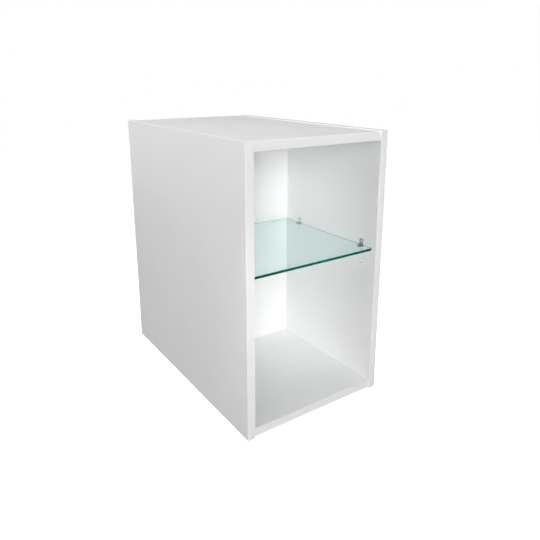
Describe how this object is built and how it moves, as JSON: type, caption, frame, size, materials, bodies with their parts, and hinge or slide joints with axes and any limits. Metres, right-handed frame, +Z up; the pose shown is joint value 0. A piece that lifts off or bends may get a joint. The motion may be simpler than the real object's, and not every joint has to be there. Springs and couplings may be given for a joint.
{
  "type": "wall-mounted bathroom cabinet",
  "caption": "Open-fronted white wall cabinet for a bathroom, with a clear glass shelf on metal angle supports and adjustable hangers hidden behind its back panel.",
  "frame": {"origin": "middle of the four wall-screw holes, on the plane of the wall", "axes": "+Y into the wall, +Z up, +X to the right of someone who looks into the open front"},
  "size_m": [0.3, 0.48, 0.51],
  "materials": {
    "white_board": "white melamine faced particle board, satin",
    "back_board": "white melamine faced fibre board, satin",
    "white_edge_band": "white edge band, satin",
    "beech_biscuit": "pressed beech, raw",
    "satin_nickel": "satin nickel plated casting",
    "clear_cushion": "soft clear plastic",
    "clear_glass": "clear float glass with a green edge, ground arrises",
    "zinc_plated_steel": "bright zinc plating",
    "zinc_casting": "die cast zinc, tumbled",
    "screw_steel": "zinc plated, slightly blue",
    "white_plastic_cap": "moulded white plastic, satin"
  },
  "bodies": {
    "carcass": {"top_panel": "white_board", "bottom_panel": "white_board", "left_side_panel": "white_board", "right_side_panel": "white_board", "back_panel": "back_board", "top_panel_front_band": "white_edge_band", "top_panel_rear_band": "white_edge_band", "bottom_panel_front_band": "white_edge_band", "bottom_panel_rear_band": "white_edge_band", "left_front_edge_band": "white_edge_band", "left_rear_edge_band": "white_edge_band", "left_top_edge_band": "white_edge_band", "left_bottom_edge_band": "white_edge_band", "right_front_edge_band": "white_edge_band", "right_rear_edge_band": "white_edge_band", "right_top_edge_band": "white_edge_band", "right_bottom_edge_band": "white_edge_band", "corner_biscuits": "beech_biscuit", "front_left_shelf_support": "satin_nickel", "front_right_shelf_support": "satin_nickel", "rear_left_shelf_support": "satin_nickel", "rear_right_shelf_support": "satin_nickel", "support_cushions": "clear_cushion", "left_hanger_housing": "zinc_plated_steel", "left_hanger_screws": "screw_steel", "left_access_cap": "white_plastic_cap", "right_hanger_housing": "zinc_plated_steel", "right_hanger_screws": "screw_steel", "right_access_cap": "white_plastic_cap"},
    "shelf": {"glass_shelf": "clear_glass"},
    "left_depth_screw": {"left_depth_screw": "screw_steel"},
    "left_carriage": {"left_hanger_carriage": "zinc_casting"},
    "left_height_screw": {"left_height_screw": "screw_steel"},
    "left_wedge": {"left_hanger_wedge": "zinc_casting"},
    "left_hook": {"left_hanger_hook": "zinc_casting", "left_wall_plate": "zinc_plated_steel"},
    "right_depth_screw": {"right_depth_screw": "screw_steel"},
    "right_carriage": {"right_hanger_carriage": "zinc_casting"},
    "right_height_screw": {"right_height_screw": "screw_steel"},
    "right_wedge": {"right_hanger_wedge": "zinc_casting"},
    "right_hook": {"right_hanger_hook": "zinc_casting", "right_wall_plate": "zinc_plated_steel"}
  },
  "joints": [
    {"name": "shelf_slide", "type": "slide", "parent": "carcass", "child": "shelf", "axis": [0, -1, 0], "range_m": [0, 0.29]},
    {"name": "left_depth_screw_turn", "type": "hinge", "parent": "carcass", "child": "left_depth_screw", "pos_m": [-0.125, -0.0792, 0.0612], "axis": [0, 1, 0], "range_deg": [-2160, 2160]},
    {"name": "left_carriage_slide", "type": "slide", "parent": "carcass", "child": "left_carriage", "axis": [0, 1, 0], "range_m": [-0.006, 0.006]},
    {"name": "left_height_screw_turn", "type": "hinge", "parent": "left_carriage", "child": "left_height_screw", "pos_m": [-0.125, -0.0709, 0.0509], "axis": [0, 1, 0], "range_deg": [-2880, 2880]},
    {"name": "left_wedge_slide", "type": "slide", "parent": "left_carriage", "child": "left_wedge", "axis": [0, 1, 0], "range_m": [-0.008, 0.008]},
    {"name": "left_hook_slide", "type": "slide", "parent": "left_carriage", "child": "left_hook", "axis": [0, 0, 1], "range_m": [-0.004, 0.004]},
    {"name": "right_depth_screw_turn", "type": "hinge", "parent": "carcass", "child": "right_depth_screw", "pos_m": [0.125, -0.0792, 0.0612], "axis": [0, 1, 0], "range_deg": [-2160, 2160]},
    {"name": "right_carriage_slide", "type": "slide", "parent": "carcass", "child": "right_carriage", "axis": [0, 1, 0], "range_m": [-0.006, 0.006]},
    {"name": "right_height_screw_turn", "type": "hinge", "parent": "right_carriage", "child": "right_height_screw", "pos_m": [0.125, -0.0709, 0.0509], "axis": [0, 1, 0], "range_deg": [-2880, 2880]},
    {"name": "right_wedge_slide", "type": "slide", "parent": "right_carriage", "child": "right_wedge", "axis": [0, 1, 0], "range_m": [-0.008, 0.008]},
    {"name": "right_hook_slide", "type": "slide", "parent": "right_carriage", "child": "right_hook", "axis": [0, 0, 1], "range_m": [-0.004, 0.004]}
  ],
  "couplings": [
    {"joint": "left_depth_screw_turn", "follows": "left_carriage_slide", "rad_per_m": 6283.1},
    {"joint": "left_wedge_slide", "follows": "left_hook_slide", "ratio": -2},
    {"joint": "left_height_screw_turn", "follows": "left_hook_slide", "rad_per_m": -12566},
    {"joint": "right_depth_screw_turn", "follows": "right_carriage_slide", "rad_per_m": 6283.1},
    {"joint": "right_wedge_slide", "follows": "right_hook_slide", "ratio": -2},
    {"joint": "right_height_screw_turn", "follows": "right_hook_slide", "rad_per_m": -12566}
  ]
}
